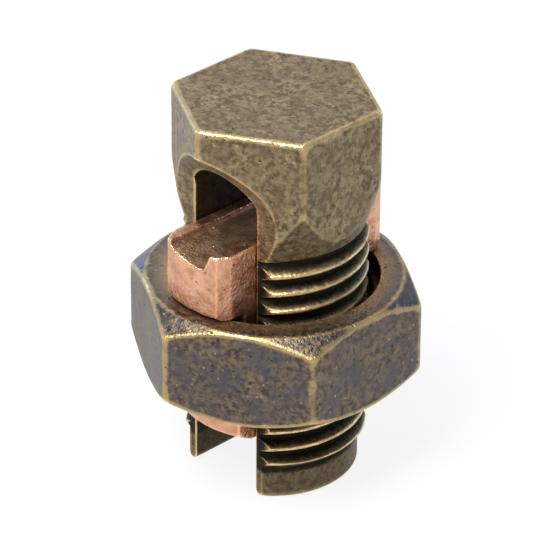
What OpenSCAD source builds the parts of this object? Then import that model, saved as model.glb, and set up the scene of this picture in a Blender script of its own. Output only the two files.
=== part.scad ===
// Split bolt connector: a hex-headed bronze bolt whose shank is slotted into two threaded legs,
// a hex nut, and a copper pressure bar that rides on the nut inside the slot.
// The legs stand on z = 0, the bolt's axis is Z, and the conductors lie along Y.

/* [Bolt head] */
// Distance across the flats of the head
head_af = 15.9; // [14.5:0.1:17]
// Overall height of the bolt, from leg ends to head top
bolt_h = 34.9; // [34:0.1:38]
// Height of the full hexagon, from the head's top to its corners' ends
head_hex_h = 6.5; // [6:0.1:8]
// Height of the whole head, down to the base of its cone
head_h = 11.5; // [10.5:0.1:12]
// Diameter at the base of the head's cone
head_base_d = 15.2; // [14.6:0.1:15.8]
// Radius on the upper edges of the head
head_edge_r = 0.45; // [0.2:0.05:0.8]
// How much the turned corners of the hexagons are taken down
corner_wear = 0.12; // [0.05:0.01:0.3]

/* [Threaded legs] */
// Major diameter of the thread
thread_d = 15.875; // [15.5:0.025:16.2]
// Distance from one thread crest to the next
thread_pitch = 1.675; // [1.5:0.025:1.8]
// Depth of the thread
thread_depth = 0.9; // [0.6:0.05:1.0]
// Width of the flat on each crest
crest_flat = 0.28; // [0.1:0.02:0.4]
// Width of the flat at each root
root_flat = 0.32; // [0.2:0.02:0.5]
// Diameter of the plain point below the thread
point_d = 14.5; // [14:0.1:15]
// Height of the plain point
point_h = 3.1; // [2.5:0.1:3.6]
// Chamfer round the lower edge of the point
point_chamfer = 0.3; // [0.1:0.05:0.6]

/* [Slot and mouths] */
// Width of the slot between the legs
slot_w = 7.32; // [6.8:0.04:7.8]
// Radius of the arch that the conductor beds in
seat_r = 4.4; // [4.0:0.05:4.6]
// Height of the top of the arch above the leg ends
seat_top_z = 29.95; // [29:0.05:31]
// Distance between the two milled flats that the slot opens through
mouth_flat_w = 11.5; // [10.8:0.1:12.4]
// Radius that the milling cutter leaves where each flat runs out in the head
runout_r = 6.35; // [5.5:0.05:7.5]
// Height of the centre of that run-out
runout_z = 26.6; // [26:0.1:27.6]
// Radius on the lower inner edges of the legs
leg_edge_r = 0.6; // [0.3:0.1:0.9]

/* [Nut] */
// Distance across the flats of the nut
nut_af = 22.4; // [21.5:0.1:24]
// Height of the nut
nut_h = 8.9; // [8:0.1:10]
// Height of the nut's lower face above the leg ends
nut_z = 9.35; // [9:0.05:10.5]
// Diameter of the flat land on each face of the nut
nut_land_d = 22.0; // [21:0.1:22.2]
// Angle of the nut's turned chamfers
nut_chamfer_angle = 36; // [25:1:40]
// Diameter of the counterbore in the nut's upper face
counterbore_d = 17.8; // [17.4:0.1:19]
// Depth of that counterbore
counterbore_h = 1.6; // [1:0.1:2.4]
// Chamfer at both mouths of the bore
bore_chamfer = 0.35; // [0.1:0.05:0.6]
// Radial running clearance between the thread's crests and the nut
thread_clearance = 0.06; // [0.02:0.01:0.1]

/* [Pressure bar] */
// Height of the bar's wings, from the nut to the top of the higher rim
wing_h = 6.1; // [5:0.1:6.6]
// Radius of the rounded ends of the wings
wing_r = 10.1; // [9.6:0.1:10.6]
// Width of the slanted corners between the ends and the sides of the wings
wing_corner = 1.0; // [0.5:0.1:1.4]
// Chamfer under the ends of the wings
wing_chamfer = 0.4; // [0.2:0.05:0.8]
// Width of the higher rim beside the conductor groove
high_rim_w = 1.3; // [0.9:0.1:1.6]
// Width of the lower rim on the other side
low_rim_w = 1.15; // [0.9:0.05:1.6]
// How far the lower rim lies below the higher one
rim_drop = 0.45; // [0:0.05:0.8]
// Depth of the groove below the higher rim
groove_depth = 1.5; // [1:0.1:2]
// Depth of the groove's shallow side below the lower rim
groove_shoulder = 0.45; // [0.2:0.05:0.8]
// Radial clearance of the bar's neck in the nut's counterbore
neck_clearance = 1.1; // [0.6:0.1:1.4]
// Radius of the tongue that passes through the nut
tongue_r = 7.0; // [6.4:0.1:7.4]
// Height of the tongue's lower end above the leg ends
tongue_z = 5.6; // [5.4:0.1:6.4]
// How far the staked lobes stand out past the nut's bore
lobe_catch = 0.35; // [0.2:0.05:0.5]
// Gap between the staked lobes and the nut's lower face
lobe_gap = 0.35; // [0.2:0.05:0.6]
// Width of the chisel notch that divides the staked end
notch_w = 0.7; // [0.4:0.1:1]
// Side clearance of the bar in the slot
bar_clearance = 0.08; // [0.04:0.01:0.1]
// Gap between the wings and the nut they ride on
seat_gap = 0.04; // [0.02:0.01:0.1]

/* [Hidden] */
$fn = 96;
CUT = 1;                                                  // overrun of every cut past the face it opens
thread_r = thread_d / 2;
root_r = thread_r - thread_depth;
head_corner_r = head_af / sqrt(3);
head_base_z = bolt_h - head_h;
head_hex_z = bolt_h - head_hex_h;
cone_rise = (head_corner_r - head_base_d / 2) / (head_hex_z - head_base_z);
top_crest_z = head_base_z - 0.7 * thread_pitch;           // the highest full crest, below the run-out groove
crests = floor((top_crest_z - point_h) / thread_pitch) + 1;
low_root_z = top_crest_z - (crests - 1) * thread_pitch - (thread_pitch - root_flat) / 2;
seat_z = seat_top_z - seat_r;
nut_top_z = nut_z + nut_h;
nut_corner_r = nut_af / sqrt(3);
bore_r = thread_r + thread_clearance;
bar_half_w = slot_w / 2 - bar_clearance;
wing_z = nut_top_z + seat_gap;
rim_z = wing_z + wing_h;
groove_z = rim_z - groove_depth;
neck_r = counterbore_d / 2 - neck_clearance;
neck_z = nut_top_z - counterbore_h + seat_gap;
lobe_r = bore_r + lobe_catch;
lobe_top_z = nut_z - lobe_gap;
lobe_mid_z = (lobe_top_z + tongue_z) / 2;
lobe_edge_h = (lobe_top_z - tongue_z) / 4;
notch_x = bar_half_w / 2;

// A hexagonal bar lying between two flats of the given width, its upper edges rounded
module hex_bar(across_flats, low_z, high_z, edge_r) {
    intersection_for (turn = [0, 60, 120])
        rotate([0, 0, turn])
            rotate([90, 0, 0])
                linear_extrude(height = 2 * across_flats, center = true)
                    rounded_slab(across_flats, low_z, high_z, edge_r);
}

// The section of one pair of flats: a rectangle with both upper corners rounded
module rounded_slab(width, low_z, high_z, edge_r) {
    translate([-width / 2, low_z])
        square([width, high_z - low_z - edge_r]);
    translate([-width / 2 + edge_r, low_z])
        square([width - 2 * edge_r, high_z - low_z]);
    for (side = [-1, 1])
        translate([side * (width / 2 - edge_r), high_z - edge_r])
            circle(r = edge_r);
}

// Half section of the shank: the plain point, then one crest after another up to the head
function crest(z) = [
    [root_r, z - (thread_pitch - root_flat) / 2],
    [thread_r, z - crest_flat / 2],
    [thread_r, z + crest_flat / 2],
    [root_r, z + (thread_pitch - root_flat) / 2]
];
function shank_section() = concat(
    [[0, 0], [point_d / 2 - point_chamfer, 0], [point_d / 2, point_chamfer],
     [point_d / 2, low_root_z - root_flat]],
    [for (k = [crests - 1:-1:0]) each crest(top_crest_z - k * thread_pitch)],
    [[root_r, head_base_z + CUT], [0, head_base_z + CUT]]
);

module shank() {
    rotate_extrude()
        polygon(shank_section());
}

// The hexagon, turned to a long cone below so that it meets the shank
module head() {
    intersection() {
        hex_bar(head_af, head_base_z, bolt_h, head_edge_r);
        rotate_extrude()
            polygon([
                [0, head_base_z],
                [head_base_d / 2, head_base_z],
                [head_corner_r - corner_wear, head_hex_z - corner_wear / cone_rise],
                [head_corner_r - corner_wear, bolt_h],
                [0, bolt_h]
            ]);
    }
}

// The slot's outline: straight walls, the conductor arch above and eased edges at the leg ends
module slot_outline() {
    translate([-slot_w / 2, -CUT])
        square([slot_w, seat_z + CUT]);
    intersection() {
        translate([0, seat_z])
            circle(r = seat_r);
        translate([-slot_w / 2, seat_z - CUT])
            square([slot_w, seat_r + 2 * CUT]);
    }
    for (side = [0, 1])
        mirror([side, 0])
            difference() {
                translate([slot_w / 2 - CUT, -CUT])
                    square([leg_edge_r + CUT, leg_edge_r + CUT]);
                translate([slot_w / 2 + leg_edge_r, leg_edge_r])
                    circle(r = leg_edge_r);
            }
}

// What the cutter takes off one mouth: a flat, then its round run-out into the head
module mouth_outline() {
    translate([mouth_flat_w / 2, -CUT])
        square([2 * runout_r, runout_z + CUT]);
    translate([mouth_flat_w / 2 + runout_r, runout_z])
        circle(r = runout_r);
    translate([mouth_flat_w / 2 + runout_r, runout_z - CUT])
        square([runout_r, runout_r + CUT]);
}

module bolt() {
    color("darkgoldenrod")
        difference() {
            union() {
                shank();
                head();
            }
            rotate([90, 0, 0])
                linear_extrude(height = 4 * head_corner_r, center = true)
                    slot_outline();
            for (turn = [0, 180])
                rotate([90, 0, 90 + turn])
                    linear_extrude(height = 4 * head_corner_r, center = true)
                        mouth_outline();
        }
}

module nut() {
    chamfer_rise = (nut_corner_r - corner_wear - nut_land_d / 2) * tan(nut_chamfer_angle);
    color("saddlebrown")
        translate([0, 0, nut_z])
            difference() {
                intersection() {
                    rotate([0, 0, 30])
                        cylinder(r = nut_corner_r, h = nut_h, $fn = 6);
                    rotate_extrude()
                        polygon([
                            [0, 0],
                            [nut_land_d / 2, 0],
                            [nut_corner_r - corner_wear, chamfer_rise],
                            [nut_corner_r - corner_wear, nut_h - chamfer_rise],
                            [nut_land_d / 2, nut_h],
                            [0, nut_h]
                        ]);
                }
                rotate_extrude()
                    bore_section();
            }
}

// Half section of what is bored out of the nut: both mouths of the bore chamfered, then the counterbore
module bore_section() {
    floor_z = nut_h - counterbore_h;
    polygon([
        [0, -CUT],
        [bore_r + bore_chamfer + CUT, -CUT],
        [bore_r, bore_chamfer],
        [bore_r, floor_z - bore_chamfer],
        [bore_r + bore_chamfer, floor_z],
        [counterbore_d / 2, floor_z],
        [counterbore_d / 2, nut_h + CUT],
        [0, nut_h + CUT]
    ]);
}

// The bar seen from above: parallel sides whose ends are cut back at a slant
module bar_plan() {
    side_y = sqrt(pow(wing_r, 2) - pow(bar_half_w, 2)) - wing_corner;
    end_x = bar_half_w - wing_corner;
    polygon([
        [bar_half_w, -side_y],
        [bar_half_w, side_y],
        [end_x, side_y + 2 * wing_corner],
        [-end_x, side_y + 2 * wing_corner],
        [-bar_half_w, side_y],
        [-bar_half_w, -side_y],
        [-end_x, -side_y - 2 * wing_corner],
        [end_x, -side_y - 2 * wing_corner]
    ]);
}

// Half section of the bar as a revolved piece: staked end, tongue, neck and wings
module bar_section() {
    polygon([
        [0, tongue_z],
        [tongue_r, tongue_z],
        [lobe_r, lobe_mid_z - lobe_edge_h],
        [lobe_r, lobe_mid_z + lobe_edge_h],
        [tongue_r, lobe_top_z],
        [tongue_r, neck_z],
        [neck_r, neck_z],
        [neck_r, wing_z],
        [wing_r - wing_chamfer, wing_z],
        [wing_r, wing_z + wing_chamfer],
        [wing_r, rim_z],
        [0, rim_z]
    ]);
}

// The groove that the conductor lies in: deep beside the higher rim, shallow beside the lower one
module groove_outline() {
    polygon([
        [bar_half_w - high_rim_w, rim_z + CUT],
        [bar_half_w - high_rim_w, rim_z],
        [bar_half_w - 1.5 * high_rim_w, groove_z],
        [0, groove_z + groove_shoulder / 3],
        [low_rim_w - bar_half_w, rim_z - rim_drop - groove_shoulder],
        [low_rim_w - bar_half_w, rim_z - rim_drop],
        [-bar_half_w - CUT, rim_z - rim_drop],
        [-bar_half_w - CUT, rim_z + CUT]
    ]);
}

module pressure_bar() {
    color("peru")
        difference() {
            intersection() {
                rotate_extrude()
                    bar_section();
                linear_extrude(height = bolt_h)
                    bar_plan();
            }
            rotate([90, 0, 0])
                linear_extrude(height = 4 * wing_r, center = true)
                    groove_outline();
            translate([notch_x, 0, 0])
                rotate([90, 0, 0])
                    linear_extrude(height = 4 * wing_r, center = true)
                        polygon([[-notch_w, tongue_z - CUT], [notch_w, tongue_z - CUT], [0, tongue_z + notch_w]]);
        }
}

bolt();
nut();
pressure_bar();
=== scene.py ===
"""Dresses the split bolt connector: a worn bronze bolt and nut, and the copper pressure bar between them.

Every piece is modelled on the bench in millimetres and set down in the frame in metres. The frame's own
solids give the overall sizes; what a size has of its own is a field of the class that builds the piece.
"""

import logging
import math
from collections.abc import Callable, Iterator
from contextlib import contextmanager
from dataclasses import dataclass, field
from enum import Enum

import bmesh
import bpy
import numpy as np
from mathutils import Matrix, Vector

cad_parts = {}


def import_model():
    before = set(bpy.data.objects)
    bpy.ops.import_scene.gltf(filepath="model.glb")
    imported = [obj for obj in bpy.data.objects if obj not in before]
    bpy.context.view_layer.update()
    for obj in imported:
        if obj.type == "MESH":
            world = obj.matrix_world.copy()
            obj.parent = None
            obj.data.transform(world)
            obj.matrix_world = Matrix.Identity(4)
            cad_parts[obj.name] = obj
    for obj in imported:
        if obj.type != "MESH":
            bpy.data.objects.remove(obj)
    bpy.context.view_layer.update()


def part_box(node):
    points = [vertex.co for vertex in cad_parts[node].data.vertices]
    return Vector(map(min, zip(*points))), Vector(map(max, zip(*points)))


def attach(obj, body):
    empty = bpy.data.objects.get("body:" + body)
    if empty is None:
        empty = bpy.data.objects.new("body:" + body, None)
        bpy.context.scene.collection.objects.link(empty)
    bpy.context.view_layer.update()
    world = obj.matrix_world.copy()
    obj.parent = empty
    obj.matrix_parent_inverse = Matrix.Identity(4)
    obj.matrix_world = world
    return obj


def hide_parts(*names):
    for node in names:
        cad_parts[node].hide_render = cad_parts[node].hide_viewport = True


LOG = logging.getLogger("split_bolt_connector")
MM = 0.001
OVERRUN = 1.0  # how far every cutter runs past the face that it opens, in millimetres
HAIR = 0.001  # a gap or tolerance that is too small to see, in millimetres
LEVEL = 0.99  # cosine beyond which a face counts as level
SIDES = 144  # sides of everything that is turned
THREAD_STEPS = 120  # steps in each turn of a thread
TRIANGLE_LIMIT = 190_000
EDGE_RISE = 0.10  # how far a sharp edge stands out from its smoothed surface, in millimetres
HOLLOW_DEPTH = 0.2  # how deep a hollow lies under its smoothed surface
BUMP_HEIGHT = 0.00013  # height of the finest grain, in metres
SKY_BLUE = (0.32, 0.58, 1.0)


class Joinery(Enum):
    """The ways in which two solids are put together."""

    JOIN = "UNION"
    CUT = "DIFFERENCE"
    KEEP_COMMON = "INTERSECT"


class Workpiece:
    """One mesh on the bench, in millimetres, shaped with a modeller's own operators."""

    def __init__(self, obj: bpy.types.Object) -> None:
        """Takes charge of a mesh object whose place is in its mesh."""
        self.obj = obj

    @classmethod
    def take_new(cls, name: str) -> "Workpiece":
        """Names the primitive that was just added and puts its place into its mesh.

        Args:
            name: The piece's name.

        Returns:
            The primitive as a workpiece.
        """
        obj = bpy.context.object
        obj.name = obj.data.name = name
        bpy.ops.object.transform_apply(location=True, rotation=True, scale=True)
        return cls(obj)

    @classmethod
    def rod(cls, name: str, radius: float, low: float, high: float, sides: int) -> "Workpiece":
        """Starts from a straight rod that stands on Z.

        Args:
            name: The piece's name.
            radius: Radius of the rod, to its corners if it has few sides.
            low: Height of its lower end.
            high: Height of its upper end.
            sides: Number of sides.

        Returns:
            The rod.
        """
        clear_selection()
        bpy.ops.mesh.primitive_cylinder_add(
            vertices=sides, radius=radius, depth=high - low, location=(0, 0, (low + high) / 2)
        )
        return cls.take_new(name)

    @classmethod
    def block(cls, name: str, low: Vector, high: Vector) -> "Workpiece":
        """Starts from a rectangular block.

        Args:
            name: The piece's name.
            low: The block's lowest corner.
            high: The block's highest corner.

        Returns:
            The block.
        """
        clear_selection()
        bpy.ops.mesh.primitive_cube_add(size=1, location=(low + high) / 2, scale=high - low)
        return cls.take_new(name)

    @classmethod
    def turned(cls, name: str, profile: list[tuple[float, float]]) -> "Workpiece":
        """Turns a solid between centres: a disc is extruded and resized from one station to the next.

        Args:
            name: The piece's name.
            profile: Radius and height of each station, from the bottom up.

        Returns:
            The turned solid.
        """
        clear_selection()
        radius, height = profile[0]
        bpy.ops.mesh.primitive_circle_add(
            vertices=SIDES, radius=radius, fill_type="NGON", location=(0, 0, height)
        )
        piece = cls.take_new(name)
        with piece.editing():
            bpy.ops.mesh.select_all(action="SELECT")
            for next_radius, next_height in profile[1:]:
                draw_out(height, next_height, next_radius / radius, next_radius / radius)
                radius, height = next_radius, next_height
        piece.face_outwards()
        return piece

    @contextmanager
    def editing(self) -> Iterator[bmesh.types.BMesh]:
        """Opens the piece in edit mode for a while.

        Yields:
            The edit mesh, to select in.
        """
        self.pick_up()
        bpy.ops.object.mode_set(mode="EDIT")
        yield bmesh.from_edit_mesh(self.obj.data)
        bpy.ops.object.mode_set(mode="OBJECT")

    def pick_up(self) -> None:
        """Makes this the active object and the only one selected."""
        clear_selection()
        self.obj.select_set(True)
        bpy.context.view_layer.objects.active = self.obj

    def choose(self, mesh: bmesh.types.BMesh, mode: str, wanted: Callable[..., bool]) -> None:
        """Selects the elements that pass a test, and nothing else.

        Args:
            mesh: The piece's edit mesh.
            mode: VERT, EDGE or FACE.
            wanted: The test.
        """
        bpy.ops.mesh.select_mode(type=mode)
        bpy.ops.mesh.select_all(action="DESELECT")
        for element in {"VERT": mesh.verts, "EDGE": mesh.edges, "FACE": mesh.faces}[mode]:
            if wanted(element):
                element.select_set(True)
        bmesh.update_edit_mesh(self.obj.data)

    def draw_down(self, half_width: float, height: float, stations: list[tuple[float, float]]) -> None:
        """Draws the flat underside down from one station to the next.

        Args:
            half_width: Half the underside's width across X.
            height: The underside's height.
            stations: Half width and height of each station.
        """
        with self.editing() as mesh:
            self.choose(mesh, "FACE", lambda face: face.normal.z < -LEVEL)
            for next_width, next_height in stations:
                draw_out(height, next_height, next_width / half_width, 1)
                half_width, height = next_width, next_height
        self.face_outwards()

    def bevel(self, wanted: Callable[[bmesh.types.BMEdge], bool], width: float, segments: int) -> None:
        """Rounds the edges that pass a test.

        Args:
            wanted: The test.
            width: Width of the bevel on each side of an edge.
            segments: Number of segments across it.
        """
        with self.editing() as mesh:
            self.choose(mesh, "EDGE", wanted)
            bpy.ops.mesh.bevel(offset=width, segments=segments, affect="EDGES", clamp_overlap=True)

    def saw(self, point: tuple[float, float, float], outward: tuple[float, float, float]) -> None:
        """Saws the piece along a plane, drops what lies outside it and closes the cut.

        Args:
            point: A point on the plane.
            outward: The plane's normal, towards what is dropped.
        """
        with self.editing():
            bpy.ops.mesh.select_all(action="SELECT")
            plane = Vector(outward).normalized()
            bpy.ops.mesh.bisect(plane_co=point, plane_no=plane, use_fill=True, clear_outer=True)

    def turn(self, degrees: float, axis: str) -> "Workpiece":
        """Turns the piece about the X, Y or Z axis and returns it."""
        self.obj.data.transform(Matrix.Rotation(math.radians(degrees), 4, axis))
        return self

    def move(self, x: float = 0, y: float = 0, z: float = 0) -> "Workpiece":
        """Moves the piece and returns it."""
        self.obj.data.transform(Matrix.Translation((x, y, z)))
        return self

    def apply(self, kind: str, **settings: object) -> None:
        """Adds a modifier and applies it.

        Args:
            kind: The modifier's type.
            settings: Its settings.
        """
        self.pick_up()
        modifier = self.obj.modifiers.new(kind.title(), kind)
        for name, value in settings.items():
            setattr(modifier, name, value)
        bpy.ops.object.modifier_apply(modifier=modifier.name)

    def combine(self, other: "Workpiece", how: Joinery) -> None:
        """Joins another solid on, cuts it out or keeps what both share, which uses the other up."""
        self.apply("BOOLEAN", operation=how.value, solver="MANIFOLD", object=other.obj)
        bpy.data.meshes.remove(other.obj.data)

    def tumble(self, grain: float, passes: int) -> None:
        """Rounds every edge as a tumbling barrel does, by smoothing a mesh of cells of the grain's size."""
        self.apply("REMESH", mode="VOXEL", voxel_size=grain)
        self.apply("SMOOTH", factor=0.5, iterations=passes)

    def surface(self) -> tuple[np.ndarray, np.ndarray]:
        """Reads the place and the normal of every point.

        Returns:
            Two arrays with a row for each point.
        """
        points = self.obj.data.vertices
        place, normal = np.empty(len(points) * 3), np.empty(len(points) * 3)
        points.foreach_get("co", place)
        points.foreach_get("normal", normal)
        return place.reshape(-1, 3), normal.reshape(-1, 3)

    def read_surface(self, edge_passes: int = 24, hollow_passes: int = 70) -> None:
        """Reads where the surface stands out in edges and sinks in hollows, for the finish to follow.

        Args:
            edge_passes: Reach of an edge, in passes over the mesh.
            hollow_passes: Reach of a hollow.
        """
        place, normal = self.surface()
        ends = np.empty(len(self.obj.data.edges) * 2, dtype=np.int32)
        self.obj.data.edges.foreach_get("vertices", ends)
        first, second = ends.reshape(-1, 2).T
        neighbours = np.bincount(ends, minlength=len(place))[:, None]
        smooth = place.copy()
        rise = {}
        for done in range(1, hollow_passes + 1):
            total = np.stack(
                [
                    np.bincount(first, smooth[second, axis], len(place))
                    + np.bincount(second, smooth[first, axis], len(place))
                    for axis in range(3)
                ],
                axis=1,
            )
            smooth = (smooth + total / neighbours) / 2
            if done in (edge_passes, hollow_passes):
                rise[done] = np.einsum("ij,ij->i", place - smooth, normal)
        self.mark("edge", rise[edge_passes] / EDGE_RISE)
        # The hollow mark sets where painted shade darkens the colour.
        self.mark("hollow", -rise[hollow_passes] / HOLLOW_DEPTH)

    def mark(self, name: str, values: np.ndarray) -> None:
        """Writes one number from 0 to 1 on each point, for the finish to read by this name."""
        layer = self.obj.data.attributes.new(name, "FLOAT", "POINT")
        layer.data.foreach_set("value", np.clip(values, 0, 1).astype(np.float32))

    def face_outwards(self) -> None:
        """Makes all faces look out of the solid."""
        with self.editing():
            bpy.ops.mesh.select_all(action="SELECT")
            bpy.ops.mesh.normals_make_consistent(inside=False)

    def finish(
        self, name: str, dents: bpy.types.Texture, depth: float, mark_use_and_painted_light: Callable[["Workpiece"], None]
    ) -> bpy.types.Object:
        """Dents the shape as handled metal is, marks it and brings it from the bench into the frame.

        Args:
            name: The finished object's name.
            dents: The cloud texture that places the dents.
            depth: Full depth of the dents.
            mark_use_and_painted_light: Marks the painted shade and painted reflection on the piece, and what
                use and the cutter have left on it.

        Returns:
            The finished object, in metres and smooth shaded.
        """
        self.apply("DISPLACE", texture=dents, strength=depth, mid_level=1.0, texture_coords="LOCAL")
        self.read_surface()
        mark_use_and_painted_light(self)
        triangles = sum(len(face.vertices) - 2 for face in self.obj.data.polygons)
        if triangles > TRIANGLE_LIMIT:
            self.apply("DECIMATE", ratio=TRIANGLE_LIMIT / triangles, use_collapse_triangulate=True)
        self.obj.name = name
        self.obj.data.transform(Matrix.Scale(MM, 4))
        self.pick_up()
        bpy.ops.object.shade_smooth()
        return self.obj


def clear_selection() -> None:
    """Deselects every object, because an operator acts on all that is selected."""
    bpy.ops.object.select_all(action="DESELECT")


def draw_out(height: float, next_height: float, across_x: float, across_y: float) -> None:
    """Extrudes the selected face along Z and resizes its new end.

    Args:
        height: The face's height.
        next_height: Height of its new end.
        across_x: How many times as wide the new end is along X.
        across_y: How many times as wide it is along Y.
    """
    bpy.ops.mesh.extrude_region_move(TRANSFORM_OT_translate={"value": (0, 0, next_height - height)})
    bpy.ops.transform.resize(value=(across_x, across_y, 1), center_override=(0, 0, next_height))


@dataclass(frozen=True)
class Thread:
    """The right-handed thread that the legs and the nut share."""

    pitch: float = 1.675
    depth: float = 0.9
    crest_flat: float = 0.28
    root_flat: float = 0.32
    root_sink: float = 0.15

    def ridge(self, name: str, crest_radius: float, start: float, turns: int, spare: float = 0) -> Workpiece:
        """Winds one ridge of the thread's section round the axis.

        Args:
            name: The piece's name.
            crest_radius: Radius of the crest.
            start: Height of the crest over the X axis on the first turn.
            turns: Number of turns upwards from there.
            spare: How much the section is widened on each side.

        Returns:
            The ridge, closed at both ends.
        """
        flank = (self.pitch - self.root_flat - self.crest_flat) / 2 / self.depth
        inner = crest_radius - self.depth - self.root_sink
        base = self.crest_flat / 2 + flank * (self.depth + self.root_sink) + spare
        crest = self.crest_flat / 2 + spare
        middle = (crest_radius + inner) / 2
        clear_selection()
        bpy.ops.mesh.primitive_plane_add(size=1, rotation=(math.pi / 2, 0, 0))
        piece = Workpiece.take_new(name)
        piece.obj.data.transform(Matrix.Diagonal((crest_radius - inner, 1, 2 * base, 1)))
        piece.move(x=middle, z=start)
        with piece.editing() as mesh:
            piece.choose(mesh, "VERT", lambda vertex: vertex.co.x > middle)
            bpy.ops.transform.resize(value=(1, 1, crest / base), center_override=(crest_radius, 0, start))
        turning = {"iterations": turns, "steps": THREAD_STEPS, "render_steps": THREAD_STEPS}
        piece.apply("SCREW", axis="Z", screw_offset=self.pitch, **turning)
        with piece.editing():
            bpy.ops.mesh.select_all(action="DESELECT")
            bpy.ops.mesh.select_mode(type="EDGE")
            bpy.ops.mesh.select_non_manifold(extend=False, use_verts=False)
            bpy.ops.mesh.fill_holes(sides=8)
        piece.face_outwards()
        return piece


@dataclass
class SplitBolt:
    """The bolt: hexagonal head on a long cone, and a shank that the slot splits into two threaded legs."""

    low: Vector
    high: Vector
    thread: Thread
    hex_height: float = 6.5
    head_height: float = 11.5
    base_diameter: float = 15.2
    corner_wear: float = 0.12
    top_radius: float = 0.42
    side_radius: float = 0.16
    point_diameter: float = 14.5
    point_height: float = 3.1
    thread_diameter: float = 15.875
    crest_drop: float = 0.7
    slot_width: float = 7.32
    arch_radius: float = 4.4
    arch_top: float = 29.95
    leg_edge_radius: float = 0.6
    edge_steps: int = 6
    leg_chamfer: float = 0.3
    mouth_flats: float = 11.5
    runout_radius: float = 6.35
    runout_height: float = 26.6
    turns: int = 14
    # How dark the painted shade is under the thread's flanks, on the lower legs (up to a height, fading over
    # a span), under the cone and in the slot.
    flank_shade: float = 0.7
    leg_shade: float = 0.45
    leg_shade_top: float = 7.0
    leg_shade_fade: float = 3.0
    cone_shade: float = 0.25
    slot_shade: float = 0.8

    def __post_init__(self) -> None:
        """Works out the sizes that follow from the frame."""
        self.height = self.high.z
        self.across_flats = self.high.x - self.low.x
        self.corner_radius = self.across_flats / math.sqrt(3)
        self.base_height = self.height - self.head_height
        self.hex_low = self.height - self.hex_height
        self.root_radius = self.thread_diameter / 2 - self.thread.depth
        self.top_crest = self.base_height - self.crest_drop * self.thread.pitch

    def head(self) -> Workpiece:
        """Models the head: a hexagonal bar with eased edges, turned down to the cone.

        Returns:
            The head.
        """
        head = Workpiece.rod("head", self.corner_radius, self.base_height, self.height, sides=6)
        head.bevel(lambda edge: abs(edge.verts[0].co.z - edge.verts[1].co.z) > OVERRUN, self.side_radius, 4)
        top = self.height - HAIR
        head.bevel(lambda edge: min(v.co.z for v in edge.verts) > top, self.top_radius, 5)
        rise = (self.corner_radius - self.base_diameter / 2) / (self.hex_low - self.base_height)
        turned_radius = self.corner_radius - self.corner_wear
        envelope = Workpiece.turned(
            "head_envelope",
            [
                (self.base_diameter / 2 - rise * OVERRUN, self.base_height - OVERRUN),
                (self.base_diameter / 2, self.base_height),
                (turned_radius, self.hex_low - self.corner_wear / rise),
                (turned_radius, self.height + OVERRUN),
            ],
        )
        head.combine(envelope, Joinery.KEEP_COMMON)
        return head

    def shank(self) -> Workpiece:
        """Models the shank: plain point, thread core and the helical ridge, which fades out at both ends.

        Returns:
            The shank, still in one piece.
        """
        crest_radius = self.thread_diameter / 2
        point_radius = self.point_diameter / 2
        lead = crest_radius - point_radius
        first_crest = self.top_crest - (self.turns - 2) * self.thread.pitch
        ridge = self.thread.ridge("thread_ridge", crest_radius, first_crest, self.turns)
        envelope = Workpiece.turned(
            "thread_envelope",
            [
                (point_radius, OVERRUN),
                (point_radius, self.point_height),
                (crest_radius, self.point_height + lead),
                (crest_radius, self.base_height - self.thread.depth / 2),
                (self.root_radius - OVERRUN, self.base_height + self.thread.depth / 2 + OVERRUN),
            ],
        )
        ridge.combine(envelope, Joinery.KEEP_COMMON)
        shank = Workpiece.turned(
            "shank",
            [
                (point_radius - self.leg_chamfer, 0),
                (point_radius, self.leg_chamfer),
                (point_radius, self.point_height - self.leg_chamfer),
                (self.root_radius, self.point_height),
                (self.root_radius, self.base_height + OVERRUN),
            ],
        )
        shank.combine(ridge, Joinery.JOIN)
        return shank

    def slot_cutter(self) -> Workpiece:
        """Models what the slot takes away: an arch on straight walls, flared where the legs' edges are eased.

        Returns:
            The cutter.
        """
        half = self.slot_width / 2
        length = 4 * self.corner_radius
        centre = self.arch_top - self.arch_radius
        cutter = Workpiece.rod("slot_cutter", self.arch_radius, -length / 2, length / 2, SIDES)
        cutter.turn(90, "X").move(z=centre)
        cutter.saw((half, 0, 0), (1, 0, 0))
        cutter.saw((-half, 0, 0), (-1, 0, 0))
        cutter.saw((0, 0, centre), (0, 0, -1))
        angles = [math.pi / 2 * step / self.edge_steps for step in range(self.edge_steps + 1)]
        radius = self.leg_edge_radius
        flare = [(half + radius * (1 - math.cos(a)), radius * (1 - math.sin(a))) for a in angles]
        cutter.draw_down(half, centre, [*flare, (flare[-1][0], -OVERRUN)])
        return cutter

    def mouth_cutter(self, side: int) -> Workpiece:
        """Models what the milling cutter takes off one mouth: a flat with a round run-out in the head.

        Args:
            side: 1 for the mouth towards +Y, -1 for the other.

        Returns:
            The cutter.
        """
        length = 4 * self.corner_radius
        centre = self.mouth_flats / 2 + self.runout_radius
        cutter = Workpiece.rod("mouth_cutter", self.runout_radius, -length / 2, length / 2, SIDES)
        cutter.turn(90, "Y").move(y=side * centre, z=self.runout_height)
        cutter.saw((0, 0, self.runout_height), (0, 0, -1))
        cutter.draw_down(1, self.runout_height, [(1, -OVERRUN)])
        return cutter

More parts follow.
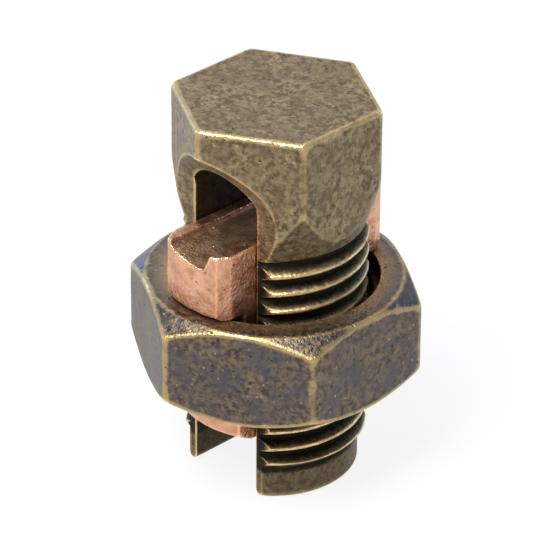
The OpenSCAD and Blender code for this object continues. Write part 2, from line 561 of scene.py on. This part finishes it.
    def mark_use_and_painted_light(self, bolt: Workpiece) -> None:
        """Marks painted shade in the thread's roots, under its flanks, on the lower legs, under the cone and
        in the slot, and the flats and run-outs that the cutter left.

        Each surface is found by its place, within a margin in millimetres, and by a cosine of its normal.

        Args:
            bolt: The bolt.
        """
        place, normal = bolt.surface()
        x, y, z = place.T
        level = np.abs(normal[:, 2])
        radius = np.hypot(x, y)
        crest = self.thread_diameter / 2
        mouth = self.mouth_flats / 2
        in_thread = (z > self.point_height - 0.5) & (z < self.base_height - 0.3) & (np.abs(y) < mouth + 0.6)
        # Painted shade: the thread darkens towards its roots, on flanks that face down, on the legs towards
        # their lower ends, on the cone's underside and on the slot's walls and roof.
        root = np.clip((crest - 0.15 - radius) / (0.4 * self.thread.depth), 0, 1)
        faces_out = np.abs(normal[:, 0] * x + normal[:, 1] * y) / radius > 0.3
        thread_shade = np.where(in_thread & faces_out, root, 0)
        under_flank = np.clip(-normal[:, 2], 0, 1) * in_thread * (radius > crest - self.thread.depth - 0.2)
        in_slot = (np.abs(x) < self.slot_width / 2 + 0.08) & (np.abs(normal[:, 0]) > 0.7)
        arch = np.hypot(x, z - self.arch_top + self.arch_radius)
        roof = (arch < self.arch_radius + 0.15) & (z > self.base_height) & (np.abs(y) < mouth - 0.3)
        cone = (z > self.base_height) & (normal[:, 2] < -0.2)
        leg_ends = np.clip((self.leg_shade_top - z) / self.leg_shade_fade, 0, 1)
        layers = [
            thread_shade,
            self.flank_shade * under_flank,
            self.leg_shade * leg_ends,
            self.cone_shade * cone,
            self.slot_shade * (in_slot | roof),
        ]
        # The bolt's painted shade: the darkest of these layers.
        bolt.mark("painted_shade", np.max(layers, axis=0))
        flats = np.abs(np.abs(y) - mouth) < 0.1
        runouts = (z > self.runout_height) & (radius < self.base_diameter / 2)
        bolt.mark("milled", ((flats | runouts) & (level < 0.9)).astype(float))

    def build(self, dents: bpy.types.Texture) -> bpy.types.Object:
        """Builds the whole bolt.

        Args:
            dents: The texture that places the dents.

        Returns:
            The finished bolt.
        """
        bolt = self.head()
        bolt.tumble(grain=0.14, passes=6)
        bolt.combine(self.shank(), Joinery.JOIN)
        bolt.combine(self.slot_cutter(), Joinery.CUT)
        for side in (-1, 1):
            bolt.combine(self.mouth_cutter(side), Joinery.CUT)
        bolt.tumble(grain=0.1, passes=3)
        return bolt.finish("split_bolt", dents, depth=0.05, mark_use_and_painted_light=self.mark_use_and_painted_light)


@dataclass
class HexNut:
    """The nut: a hexagon with turned chamfers on both faces, a counterbore and a threaded bore."""

    low: Vector
    high: Vector
    bolt: SplitBolt
    land_diameter: float = 22.0
    chamfer_angle: float = 36.0
    corner_wear: float = 0.12
    side_radius: float = 0.4
    counterbore_diameter: float = 17.8
    counterbore_depth: float = 1.6
    bore_chamfer: float = 0.5
    clearance: float = 0.06
    turns: int = 10

    def blank(self) -> Workpiece:
        """Models the nut's blank: a hexagonal slice, chamfered on the lathe from both faces.

        Returns:
            The blank.
        """
        corner_radius = (self.high.x - self.low.x) / math.sqrt(3)
        turned_radius = corner_radius - self.corner_wear
        rise = (turned_radius - self.land_diameter / 2) * math.tan(math.radians(self.chamfer_angle))
        blank = Workpiece.rod("nut", corner_radius, self.low.z, self.high.z, sides=6)
        blank.bevel(lambda edge: abs(edge.verts[0].co.z - edge.verts[1].co.z) > OVERRUN, self.side_radius, 5)
        envelope = Workpiece.turned(
            "nut_envelope",
            [
                (self.land_diameter / 2, self.low.z),
                (turned_radius, self.low.z + rise),
                (turned_radius, self.high.z - rise),
                (self.land_diameter / 2, self.high.z),
            ],
        )
        blank.combine(envelope, Joinery.KEEP_COMMON)
        return blank

    def bore_cutter(self) -> Workpiece:
        """Models what is bored out: the threaded bore with both mouths chamfered, and the counterbore.

        Returns:
            The cutter.
        """
        crest_radius = self.bolt.thread_diameter / 2 + self.clearance
        root_radius = self.bolt.root_radius + 2 * self.clearance
        floor = self.high.z - self.counterbore_depth
        cutter = Workpiece.turned(
            "bore_cutter",
            [
                (crest_radius + self.bore_chamfer + OVERRUN, self.low.z - OVERRUN),
                (root_radius, self.low.z + self.bore_chamfer + crest_radius - root_radius),
                (root_radius, floor + root_radius - crest_radius - self.bore_chamfer),
                (crest_radius + self.bore_chamfer, floor),
                (self.counterbore_diameter / 2, floor + HAIR),
                (self.counterbore_diameter / 2, self.high.z + OVERRUN),
            ],
        )
        thread = self.bolt.thread
        pitches_down = math.floor((self.bolt.top_crest - self.low.z) / thread.pitch) + 1
        start = self.bolt.top_crest - (pitches_down + 1) * thread.pitch
        ridge = thread.ridge("nut_groove", crest_radius, start, self.turns, self.clearance)
        ridge.saw((0, 0, floor - HAIR), (0, 0, 1))
        cutter.combine(ridge, Joinery.JOIN)
        return cutter

    def mark_use_and_painted_light(self, nut: Workpiece) -> None:
        """Marks a painted reflection of the copper bar, warm brown, on the upper land, and painted shade in
        the bore.

        Args:
            nut: The nut.
        """
        place, normal = nut.surface()
        radius = np.hypot(place[:, 0], place[:, 1])
        # Painted reflection of the copper: the land near the counterbore takes a warm brown where it looks
        # up.
        nut.mark("tarnish_and_reflection", (self.land_diameter / 2 - 0.4 - radius) / 1.4 * (normal[:, 2] > 0.8))
        # Painted shade: the bore darkens inwards from just outside the thread's crest.
        nut.mark("painted_shade", (self.bolt.thread_diameter / 2 + 0.5 - radius) / 0.3)

    def build(self, dents: bpy.types.Texture) -> bpy.types.Object:
        """Builds the whole nut.

        Args:
            dents: The texture that places the dents.

        Returns:
            The finished nut.
        """
        nut = self.blank()
        nut.tumble(grain=0.14, passes=10)
        nut.combine(self.bore_cutter(), Joinery.CUT)
        nut.tumble(grain=0.1, passes=3)
        return nut.finish("hex_nut", dents, depth=0.05, mark_use_and_painted_light=self.mark_use_and_painted_light)


@dataclass
class PressureBar:
    """The copper bar: two grooved wings, a neck, a tongue through the nut and a staked end."""

    low: Vector
    high: Vector
    nut: HexNut
    wing_height: float = 6.1
    wing_radius: float = 10.1
    wing_corner: float = 1.0
    wing_chamfer: float = 0.4
    high_rim: float = 1.3
    low_rim: float = 1.15
    rim_drop: float = 0.45
    groove_depth: float = 1.5
    groove_shoulder: float = 0.45
    neck_clearance: float = 1.1
    tongue_radius: float = 7.0
    lobe_catch: float = 0.35
    lobe_gap: float = 0.35
    notch_width: float = 0.7
    seat_gap: float = 0.04

    def __post_init__(self) -> None:
        """Works out the sizes that follow from the frame and the nut."""
        nut = self.nut
        self.half_width = (self.high.x - self.low.x) / 2
        self.rim = self.high.z
        self.wing_low = self.rim - self.wing_height
        self.lobe_radius = nut.bolt.thread_diameter / 2 + nut.clearance + self.lobe_catch
        self.lobe_top = nut.low.z - self.lobe_gap
        self.neck_radius = nut.counterbore_diameter / 2 - self.neck_clearance
        self.neck_low = nut.high.z - nut.counterbore_depth + self.seat_gap

    def body(self) -> Workpiece:
        """Models the bar as a turned piece, sawn to its width and with its corners cut back.

        Returns:
            The bar before its groove and notch.
        """
        bottom = self.low.z
        lobe_middle = (self.lobe_top + bottom) / 2
        lobe_edge = (self.lobe_top - bottom) / 4
        body = Workpiece.turned(
            "pressure_bar_body",
            [
                (self.tongue_radius, bottom),
                (self.lobe_radius, lobe_middle - lobe_edge),
                (self.lobe_radius, lobe_middle + lobe_edge),
                (self.tongue_radius, self.lobe_top),
                (self.tongue_radius, self.neck_low),
                (self.neck_radius, self.neck_low),
                (self.neck_radius, self.wing_low),
                (self.wing_radius - self.wing_chamfer, self.wing_low),
                (self.wing_radius, self.wing_low + self.wing_chamfer),
                (self.wing_radius, self.rim),
            ],
        )
        corner_y = math.sqrt(self.wing_radius**2 - self.half_width**2) - self.wing_corner
        for across in (-1, 1):
            body.saw((across * self.half_width, 0, 0), (across, 0, 0))
            for along in (-1, 1):
                body.saw((across * self.half_width, along * corner_y, 0), (2 * across, along, 0))
        return body

    def groove_cutter(self) -> Workpiece:
        """Models the conductor groove: deep beside the higher rim, shallow beside the lower one.

        Returns:
            The cutter.
        """
        reach = 2 * self.wing_radius
        inner = self.half_width - self.high_rim
        foot = self.half_width - 1.5 * self.high_rim
        floor = self.rim - self.groove_depth
        middle = floor + self.groove_shoulder / 3
        low_rim = self.rim - self.rim_drop
        shoulder = low_rim - self.groove_shoulder
        edge = self.low_rim - self.half_width
        top = self.rim + OVERRUN
        low, high = Vector((edge, -reach, floor)), Vector((inner, reach, top))
        cutter = Workpiece.block("groove_cutter", low, high)
        cutter.saw((inner, 0, self.rim), (self.rim - floor, 0, foot - inner))
        cutter.saw((foot, 0, floor), (floor - middle, 0, -foot))
        cutter.saw((0, 0, middle), (middle - shoulder, 0, edge))
        low, high = Vector((-self.half_width - OVERRUN, -reach, low_rim)), Vector((edge + 0.01, reach, top))
        step = Workpiece.block("rim_cutter", low, high)
        cutter.combine(step, Joinery.JOIN)
        return cutter

    def notch_cutter(self) -> Workpiece:
        """Models the chisel's mark that divides the staked end.

        Returns:
            The cutter.
        """
        reach = 2 * self.wing_radius
        width, bottom = self.notch_width, self.low.z
        tip = bottom + width
        low, high = Vector((-width, -reach, bottom - OVERRUN)), Vector((width, reach, tip))
        cutter = Workpiece.block("notch_cutter", low, high)
        for side in (-1, 1):
            cutter.saw((0, 0, tip), (side * (width + OVERRUN), 0, width))
        return cutter.move(x=self.half_width / 2)

    def mark_use_and_painted_light(self, bar: Workpiece) -> None:
        """Marks the tarnished groove, and painted shade round the neck and the tongue, under the wings.

        Args:
            bar: The bar.
        """
        place, normal = bar.surface()
        x, _, z = place.T
        depth = np.clip((self.rim - self.rim_drop - 0.05 - z) / 0.5, 0, 1)
        spill = 0.1
        inside = (x < self.half_width - self.high_rim + spill) & (x > self.low_rim - self.half_width - spill)
        looks_up = normal[:, 2] > 0.35
        bar.mark("tarnish_and_reflection", depth * inside * looks_up)
        # Painted shade: darker below the wings, down to the lobe.
        bar.mark("painted_shade", (self.wing_low - z) * (z > self.lobe_top) * 2)

    def build(self, dents: bpy.types.Texture) -> bpy.types.Object:
        """Builds the whole bar.

        Args:
            dents: The texture that places the dents.

        Returns:
            The finished bar.
        """
        bar = self.body()
        bar.combine(self.groove_cutter(), Joinery.CUT)
        bar.combine(self.notch_cutter(), Joinery.CUT)
        bar.tumble(grain=0.1, passes=8)
        return bar.finish("copper_bar", dents, depth=0.08, mark_use_and_painted_light=self.mark_use_and_painted_light)


class Wiring:
    """Lays out a node tree: adds nodes, sets what they hold and links them."""

    def __init__(self, tree: bpy.types.NodeTree) -> None:
        """Takes charge of a node tree."""
        self.tree = tree

    @classmethod
    def start(cls, holder: bpy.types.Material | bpy.types.World) -> "Wiring":
        """Gives a material or a world an empty tree.

        Args:
            holder: The material or the world.

        Returns:
            The tree's wiring.
        """
        holder.use_nodes = True
        holder.node_tree.nodes.clear()
        return cls(holder.node_tree)

    def add(self, kind: str, inputs: dict | None = None, **settings: object) -> bpy.types.Node:
        """Adds a node.

        Args:
            kind: The node's type, without its Shader prefix.
            inputs: Values or output sockets for its inputs, by name or number.
            settings: The node's own settings.

        Returns:
            The node.
        """
        node = self.tree.nodes.new("ShaderNode" + kind)
        for name, value in settings.items():
            setattr(node, name, value)
        for key, value in (inputs or {}).items():
            self.feed(node.inputs[key], value)
        return node

    def feed(self, socket: bpy.types.NodeSocket, value: object) -> None:
        """Links a socket to an input, or sets its plain value.

        Args:
            socket: The input.
            value: A value, or the socket that feeds it.
        """
        if isinstance(value, bpy.types.NodeSocket):
            self.tree.links.new(value, socket)
        else:
            socket.default_value = value

    def math(self, operation: str, *terms: object, clamp: bool = False) -> bpy.types.NodeSocket:
        """Adds a Math node for values or sockets, held between 0 and 1 if clamped, and returns its result."""
        node = self.add("Math", dict(enumerate(terms)), operation=operation, use_clamp=clamp)
        return node.outputs[0]

    def ramp(
        self, value: object, low: object, high: object, to_low: float = 0, to_high: float = 1
    ) -> bpy.types.NodeSocket:
        """Maps a value smoothly from one range to another.

        Args:
            value: The socket to map.
            low: Where the range starts.
            high: Where it ends.
            to_low: The result at its start.
            to_high: The result at its end.

        Returns:
            The result's socket.
        """
        node = self.add(
            "MapRange",
            {"Value": value, "From Min": low, "From Max": high, "To Min": to_low, "To Max": to_high},
            interpolation_type="SMOOTHSTEP",
        )
        return node.outputs["Result"]

    def blend(self, factor: object, first: object, second: object) -> bpy.types.NodeSocket:
        """Mixes two colours.

        Args:
            factor: How much of the second shows.
            first: The first colour.
            second: The second colour.

        Returns:
            The mixed colour's socket.
        """
        node = self.add("Mix", {0: factor}, data_type="RGBA", clamp_factor=True)
        for number, colour in ((6, first), (7, second)):
            self.feed(node.inputs[number], (*colour, 1) if isinstance(colour, tuple) else colour)
        return node.outputs[2]

    def noise(
        self, vector: object, scale: object, detail: float, roughness: float = 0.5, distortion: float = 0
    ) -> bpy.types.NodeSocket:
        """Adds a noise pattern.

        Args:
            vector: Coordinates in millimetres.
            scale: Number of its largest features in a millimetre.
            detail: Number of finer layers.
            roughness: How strong the finer layers are.
            distortion: How far the pattern is pulled about.

        Returns:
            The noise value's socket.
        """
        inputs = {"Vector": vector, "Scale": scale, "Detail": detail, "Roughness": roughness}
        return self.add("TexNoise", {**inputs, "Distortion": distortion}).outputs["Fac"]


class SharedEffect:
    """A node group that more than one finish places, with named inputs and outputs."""

    def __init__(self, name: str, inputs: dict[str, float | None], outputs: list[str]) -> None:
        """Starts the group.

        Args:
            name: The group's name.
            inputs: Each input's name and plain value, or None for coordinates.
            outputs: The names of its outputs.
        """
        self.tree = bpy.data.node_groups.new(name, "ShaderNodeTree")
        for socket_name, value in inputs.items():
            kind = "NodeSocketVector" if value is None else "NodeSocketFloat"
            socket = self.tree.interface.new_socket(socket_name, in_out="INPUT", socket_type=kind)
            if value is not None:
                socket.default_value = value
        for socket_name in outputs:
            self.tree.interface.new_socket(socket_name, in_out="OUTPUT", socket_type="NodeSocketFloat")
        self.wiring = Wiring(self.tree)
        self.given = self.tree.nodes.new("NodeGroupInput").outputs
        self.result = self.tree.nodes.new("NodeGroupOutput").inputs

    def put_out(self, name: str, socket: bpy.types.NodeSocket) -> None:
        """Links a socket to the output of that name."""
        self.tree.links.new(socket, self.result[name])

    def place(self, wiring: Wiring, **inputs: object) -> bpy.types.Node:
        """Places the group in a material.

        Args:
            wiring: The material's wiring.
            inputs: Values or sockets for its inputs, with spaces written as underscores.

        Returns:
            The group's node.
        """
        node = wiring.tree.nodes.new("ShaderNodeGroup")
        node.node_tree = self.tree
        for key, value in inputs.items():
            wiring.feed(node.inputs[key.replace("_", " ")], value)
        return node


@dataclass(frozen=True)
class Effects:
    """The effects that the finishes share."""

    mottling: SharedEffect
    wear: SharedEffect
    grain: SharedEffect
    cutter_marks: SharedEffect


def make_mottling() -> SharedEffect:
    """Makes the cloudy mottling of a patina.

    Returns:
        The effect: a broad cloud and a fine one, both from 0 to 1.
    """
    sizes = {"Size": 2.2, "Fine Size": 0.35}
    effect = SharedEffect("patina_mottling", {"Vector": None, **sizes}, ["Broad", "Fine"])
    wiring, given = effect.wiring, effect.given
    for output, size, low, high in (("Broad", "Size", 0.36, 0.64), ("Fine", "Fine Size", 0.38, 0.62)):
        scale = wiring.math("DIVIDE", 1.0, given[size])
        cloud = wiring.noise(given["Vector"], scale, detail=5, roughness=0.68, distortion=0.1)
        effect.put_out(output, wiring.ramp(cloud, low, high))
    return effect


def make_wear() -> SharedEffect:
    """Makes the ragged bright line that wear leaves along an edge.

    Returns:
        The effect: how worn the surface is, from 0 to 1.
    """
    limits = {"Edge": 0.0, "Start": 0.2, "Full": 0.6, "Raggedness": 0.25}
    effect = SharedEffect("edge_wear", {"Vector": None, **limits}, ["Worn"])
    wiring, given = effect.wiring, effect.given
    rag = wiring.noise(given["Vector"], scale=1 / 0.45, detail=5, roughness=0.65)
    patch = wiring.noise(given["Vector"], scale=1 / 2.5, detail=2, roughness=0.55)
    both = wiring.math("ADD", wiring.math("SUBTRACT", rag, 0.5), wiring.math("SUBTRACT", patch, 0.5))
    shifted = wiring.math("MULTIPLY_ADD", both, given["Raggedness"], given["Edge"])
    effect.put_out("Worn", wiring.ramp(shifted, given["Start"], given["Full"]))
    return effect


def make_grain() -> SharedEffect:
    """Makes the pitted grain that tumbling leaves: a height, dark pits and small bright specks.

    Returns:
        The effect.
    """
    effect = SharedEffect("tumbled_grain", {"Vector": None, "Size": 0.3}, ["Height", "Pits", "Specks"])
    wiring, given = effect.wiring, effect.given
    scale = wiring.math("DIVIDE", 1.0, given["Size"])
    fine = wiring.noise(given["Vector"], scale, detail=3, roughness=0.6)
    coarse = wiring.math("MULTIPLY", scale, 0.55)
    cells = wiring.add("TexVoronoi", {"Vector": given["Vector"], "Scale": coarse})
    here = wiring.noise(given["Vector"], wiring.math("MULTIPLY", scale, 0.3), detail=2)
    near = wiring.ramp(cells.outputs["Distance"], 0.3, 0.1)
    pits = wiring.math("MULTIPLY", near, wiring.ramp(here, 0.52, 0.66))
    specks = wiring.math("MULTIPLY", near, wiring.ramp(here, 0.46, 0.32))
    height = wiring.math("SUBTRACT", fine, wiring.math("MULTIPLY", pits, 0.8))
    effect.put_out("Height", height)
    effect.put_out("Pits", pits)
    effect.put_out("Specks", specks)
    return effect


def make_cutter_marks() -> SharedEffect:
    """Makes the fine level lines that a milling cutter leaves on a flat.

    Returns:
        The effect: a height.
    """
    effect = SharedEffect("cutter_marks", {"Vector": None, "Spacing": 0.22}, ["Height"])
    wiring, given = effect.wiring, effect.given
    parts = wiring.add("SeparateXYZ", {0: given["Vector"]}).outputs
    drawn_out = [wiring.math("MULTIPLY", parts[axis], 0.12) for axis in (0, 1)]
    flat = wiring.add("CombineXYZ", {0: drawn_out[0], 1: drawn_out[1], 2: parts[2]}).outputs[0]
    lines = wiring.noise(flat, wiring.math("DIVIDE", 1.0, given["Spacing"]), detail=2)
    effect.put_out("Height", lines)
    return effect


@dataclass(frozen=True)
class MetalFinish:
    """A tumbled metal with a mottled patina, bright worn edges, dark pits, painted shade in its hollows and
    other marked places, and a marked patch of tarnish (on the nut, a painted reflection).
    """

    name: str
    dark: tuple[float, float, float]
    light: tuple[float, float, float]
    tint: tuple[float, float, float]
    rubbed: tuple[float, float, float]
    worn: tuple[float, float, float]
    # The next colour is real dirt in the pits and painted shade in hollows and marked places; the one after
    # is real tarnish on the copper's groove and a painted reflection of the copper on the nut's land.
    dirt_and_shade: tuple[float, float, float]
    tarnish_and_reflection: tuple[float, float, float]
    tint_share: float = 0.5
    rubbed_share: float = 0.75
    mottle_size: float = 2.4
    fine_size: float = 0.55
    grain_size: float = 0.3
    metallic: float = 0.95
    roughness: float = 0.42
    worn_roughness: float = 0.26
    edge_start: float = 0.4
    edge_full: float = 0.75
    rub_start: float = 0.1
    rub_full: float = 0.36
    edge_raggedness: float = 0.25
    rub_raggedness: float = 0.28
    tarnish_and_reflection_share: float = 0.85
    hollow_share: float = 0.85
    painted_shade_share: float = 0.93
    cloud_roughening: float = 0.14
    shade_mask_roughening: float = 0.25
    cutter_mark_height: float = 1.6
    pit_depth: float = 0.8
    speck_share: float = 0.4
    bump: float = 0.75

    def make(self, effects: Effects) -> bpy.types.Material:
        """Makes the material.

        Args:
            effects: The shared effects.

        Returns:
            The material.
        """
        material = bpy.data.materials.new(self.name)
        wiring = Wiring.start(material)
        spot = wiring.add("TexCoord").outputs["Object"]
        vector = wiring.add("VectorMath", {0: spot, "Scale": 1 / MM}, operation="SCALE").outputs[0]
        edge, hollow, milled, painted_shade, tarnish_and_reflection = (
            wiring.add("Attribute", attribute_name=name).outputs["Fac"]
            for name in ("edge", "hollow", "milled", "painted_shade", "tarnish_and_reflection")
        )
        sizes = {"Size": self.mottle_size, "Fine_Size": self.fine_size}
        mottling = effects.mottling.place(wiring, Vector=vector, **sizes)
        grain = effects.grain.place(wiring, Vector=vector, Size=self.grain_size)
        place_wear = effects.wear.place
        worn, rubbed = (
            place_wear(wiring, Vector=vector, Edge=edge, Start=start, Full=full, Raggedness=rag).outputs[0]
            for start, full, rag in (
                (self.edge_start, self.edge_full, self.edge_raggedness),
                (self.rub_start, self.rub_full, self.rub_raggedness),
            )
        )
        marks = effects.cutter_marks.place(wiring, Vector=vector)

        # Painted shade: the hollows and the places marked for it darken towards the near-black colour, which
        # the pits also use as real dirt.
        painted_shade_amount = wiring.math("MULTIPLY", painted_shade, self.painted_shade_share)
        shade_mask = wiring.math("MAXIMUM", wiring.math("MULTIPLY", hollow, self.hollow_share), painted_shade_amount)
        base = wiring.blend(mottling.outputs["Fine"], self.dark, self.light)
        # The tarnish layer is real tarnish on the copper and a painted reflection of the copper on the nut's
        # land.
        for mask, share, colour in (
            (mottling.outputs["Broad"], self.tint_share, self.tint),
            (rubbed, self.rubbed_share, self.rubbed),
            (tarnish_and_reflection, self.tarnish_and_reflection_share, self.tarnish_and_reflection),
            (grain.outputs["Pits"], self.pit_depth, self.dirt_and_shade),
            (grain.outputs["Specks"], self.speck_share, self.worn),
        ):
            base = wiring.blend(wiring.math("MULTIPLY", mask, share), base, colour)
        base = wiring.blend(shade_mask, base, self.dirt_and_shade)
        base = wiring.blend(worn, base, self.worn)

        rough = wiring.ramp(worn, 0, 1, self.roughness, self.worn_roughness)
        cloud = wiring.math("SUBTRACT", mottling.outputs["Fine"], 0.5)
        rough = wiring.math("MULTIPLY_ADD", cloud, self.cloud_roughening, rough)
        rough = wiring.math("MULTIPLY_ADD", shade_mask, self.shade_mask_roughening, rough, clamp=True)
        metal = wiring.ramp(worn, 0, 1, self.metallic, 1.0)

        milled_height = wiring.math("MULTIPLY", milled, self.cutter_mark_height)
        lines = wiring.math("MULTIPLY", marks.outputs["Height"], milled_height)
        height = wiring.math("ADD", grain.outputs["Height"], lines)
        bump = wiring.add("Bump", {"Strength": self.bump, "Distance": BUMP_HEIGHT, "Height": height})
        shader = wiring.add(
            "BsdfPrincipled",
            {"Base Color": base, "Metallic": metal, "Roughness": rough, "Normal": bump.outputs["Normal"]},
        )
        wiring.add("OutputMaterial", {"Surface": shader.outputs[0]})
        return material


# In each finish the near-black colour is real dirt in the pits and painted shade in hollows and marked
# places.
BOLT_FINISH = MetalFinish(
    name="olive_bronze",
    dark=(0.105, 0.078, 0.042),
    light=(0.350, 0.272, 0.155),
    tint=(0.190, 0.130, 0.080),
    rubbed=(0.58, 0.425, 0.20),
    worn=(0.95, 0.70, 0.34),
    dirt_and_shade=(0.014, 0.011, 0.007),
    tarnish_and_reflection=(0.25, 0.16, 0.08),
)
NUT_FINISH = MetalFinish(
    name="brown_bronze",
    dark=(0.070, 0.052, 0.044),
    light=(0.235, 0.180, 0.115),
    tint=(0.098, 0.088, 0.104),
    rubbed=(0.56, 0.40, 0.17),
    worn=(0.95, 0.70, 0.32),
    dirt_and_shade=(0.012, 0.010, 0.008),
    # Painted reflection of the copper on the nut's land.
    tarnish_and_reflection=(0.34, 0.225, 0.115),
    tint_share=0.75,
    rubbed_share=0.7,
    edge_start=0.32,
    edge_full=0.7,
    rub_start=0.1,
    rub_full=0.3,
)
COPPER_FINISH = MetalFinish(
    name="bare_copper",
    dark=(0.52, 0.235, 0.125),
    light=(0.80, 0.45, 0.30),
    tint=(0.66, 0.335, 0.22),
    rubbed=(0.92, 0.47, 0.25),
    worn=(1.0, 0.72, 0.50),
    dirt_and_shade=(0.10, 0.040, 0.018),
    tarnish_and_reflection=(0.66, 0.43, 0.25),
    fine_size=1.3,
    metallic=0.95,
    roughness=0.34,
    edge_start=0.4,
    edge_full=0.85,
    pit_depth=0.45,
    speck_share=0.3,
)


def direction(azimuth: float, elevation: float) -> Vector:
    """Gives the unit vector at degrees from -Y towards +X and at degrees above the floor."""
    around, up = math.radians(azimuth), math.radians(elevation)
    return Vector((math.sin(around) * math.cos(up), -math.cos(around) * math.cos(up), math.sin(up)))


@dataclass(frozen=True)
class Viewpoint:
    """Where the camera stands, on a sphere round a point on the bolt's axis."""

    target_height: float = 17.86
    azimuth: float = 45.6
    elevation: float = 30.17
    distance: float = 338.5
    roll: float = 0.435
    lens: float = 266.1
    aim_right: float = -0.336
    aim_up: float = 0.269

    def set_up(self) -> None:
        """Adds the camera and makes it the scene's own."""
        data = bpy.data.cameras.new("camera")
        data.lens = self.lens
        data.clip_start = 10 * MM
        camera = bpy.data.objects.new("camera", data)
        bpy.context.scene.collection.objects.link(camera)
        outward = direction(self.azimuth, self.elevation)
        target = Vector((0, 0, self.target_height))
        place = target + outward * self.distance
        right = direction(self.azimuth + 90, 0)
        aim = target + right * self.aim_right + outward.cross(right) * self.aim_up
        turn = (place - aim).to_track_quat("Z", "Y").to_matrix().to_4x4()
        roll = Matrix.Rotation(math.radians(self.roll), 4, "Z")
        camera.matrix_world = Matrix.Translation(place * MM) @ turn @ roll
        bpy.context.scene.camera = camera


@dataclass(frozen=True)
class Softbox:
    """A soft rectangular lamp that looks at the object."""

    name: str
    azimuth: float
    elevation: float
    distance: float
    width: float
    height: float
    brightness: float
    colour: tuple[float, float, float] = (1.0, 1.0, 1.0)
    target_height: float = 18.0

    def set_up(self) -> None:
        """Adds the lamp."""
        data = bpy.data.lights.new(self.name, "AREA")
        data.shape = "RECTANGLE"
        data.size, data.size_y = self.width * MM, self.height * MM
        data.energy = self.brightness * math.pi * data.size * data.size_y
        data.color = self.colour
        lamp = bpy.data.objects.new(self.name, data)
        bpy.context.scene.collection.objects.link(lamp)
        outward = direction(self.azimuth, self.elevation)
        lamp.location = (Vector((0, 0, self.target_height)) + outward * self.distance) * MM
        lamp.rotation_euler = outward.to_track_quat("Z", "Y").to_euler()


@dataclass
class Studio:
    """A pale floor, soft lamps and a plain bright surround."""

    lamps: list[Softbox] = field(
        default_factory=lambda: [
            Softbox("key", 6, 60, distance=320, width=170, height=200, brightness=15.0),
            Softbox("fill", 95, 40, distance=360, width=200, height=200, brightness=0.1),
            Softbox("back", 222, 38, distance=340, width=260, height=120, brightness=2.2),
            Softbox("cool_left", -95, 5, 340, 300, 200, brightness=3.0, colour=SKY_BLUE),
            Softbox("cool_back", 165, 8, 340, 300, 160, brightness=1.8, colour=SKY_BLUE),
        ]
    )
    floor_size: float = 4000.0
    floor_whiteness: float = 0.86
    surround: tuple[float, float, float] = (0.30, 0.31, 0.33)

    def set_up(self) -> None:
        """Lays the floor, hangs the lamps and lights the surround."""
        for lamp in self.lamps:
            lamp.set_up()
        self.lay_floor()
        self.light_surround()
        bpy.context.scene.view_settings.view_transform = "Standard"

    def lay_floor(self) -> None:
        """Lays the floor, which shows white to the camera and still takes the object's shadow."""
        clear_selection()
        bpy.ops.mesh.primitive_plane_add(size=self.floor_size * MM)
        floor = bpy.context.object
        floor.name = "floor"
        material = bpy.data.materials.new("pale_floor")
        wiring = Wiring.start(material)
        matt = wiring.add("BsdfDiffuse", {"Color": (0.86, 0.87, 0.88, 1)})
        white = wiring.add("Emission", {"Color": (1, 1, 1, 1), "Strength": 1.0})
        path = wiring.add("LightPath").outputs
        seen = wiring.math("ADD", path["Is Camera Ray"], path["Is Transmission Ray"])
        seen = wiring.math("ADD", seen, path["Is Glossy Ray"], clamp=True)
        seen = wiring.math("MULTIPLY", seen, self.floor_whiteness)
        mixed = wiring.add("MixShader", {0: seen, 1: matt.outputs[0], 2: white.outputs[0]})
        wiring.add("OutputMaterial", {"Surface": mixed.outputs[0]})
        floor.data.materials.append(material)

    def light_surround(self) -> None:
        """Lights the world evenly, and shows it white to the camera."""
        world = bpy.data.worlds.new("surround")
        bpy.context.scene.world = world
        wiring = Wiring.start(world)
        plain = wiring.add("Background", {"Color": (*self.surround, 1), "Strength": 1.0})
        white = wiring.add("Background", {"Color": (1, 1, 1, 1), "Strength": 1.0})
        seen = wiring.add("LightPath").outputs["Is Camera Ray"]
        mixed = wiring.add("MixShader", {0: seen, 1: plain.outputs[0], 2: white.outputs[0]})
        wiring.add("OutputWorld", {"Surface": mixed.outputs[0]})


def main() -> None:
    """Builds the pieces in order, dresses them and sets up the studio."""
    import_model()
    Viewpoint().set_up()
    dents = bpy.data.textures.new("dents", "CLOUDS")
    dents.noise_scale = 1.6
    effects = Effects(make_mottling(), make_wear(), make_grain(), make_cutter_marks())

    bolt = SplitBolt(*(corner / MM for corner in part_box("bolt")), Thread())
    nut = HexNut(*(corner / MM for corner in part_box("nut")), bolt)
    bar = PressureBar(*(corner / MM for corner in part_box("pressure_bar")), nut)
    for maker, finish, node, body, slot in (
        (bolt, BOLT_FINISH, "bolt", "bolt", "bolt_bronze"),
        (nut, NUT_FINISH, "nut", "nut", "nut_bronze"),
        (bar, COPPER_FINISH, "pressure_bar", "bar", "copper"),
    ):
        piece = maker.build(dents)
        piece.data.materials.clear()
        piece.data.materials.append(finish.make(effects))
        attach(piece, body)
        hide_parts(node)
        LOG.info("%s: %d faces", piece.name, len(piece.data.polygons))
    Studio().set_up()


if __name__ == "__main__":
    logging.basicConfig(level=logging.INFO, format="%(name)s: %(message)s")
    main()
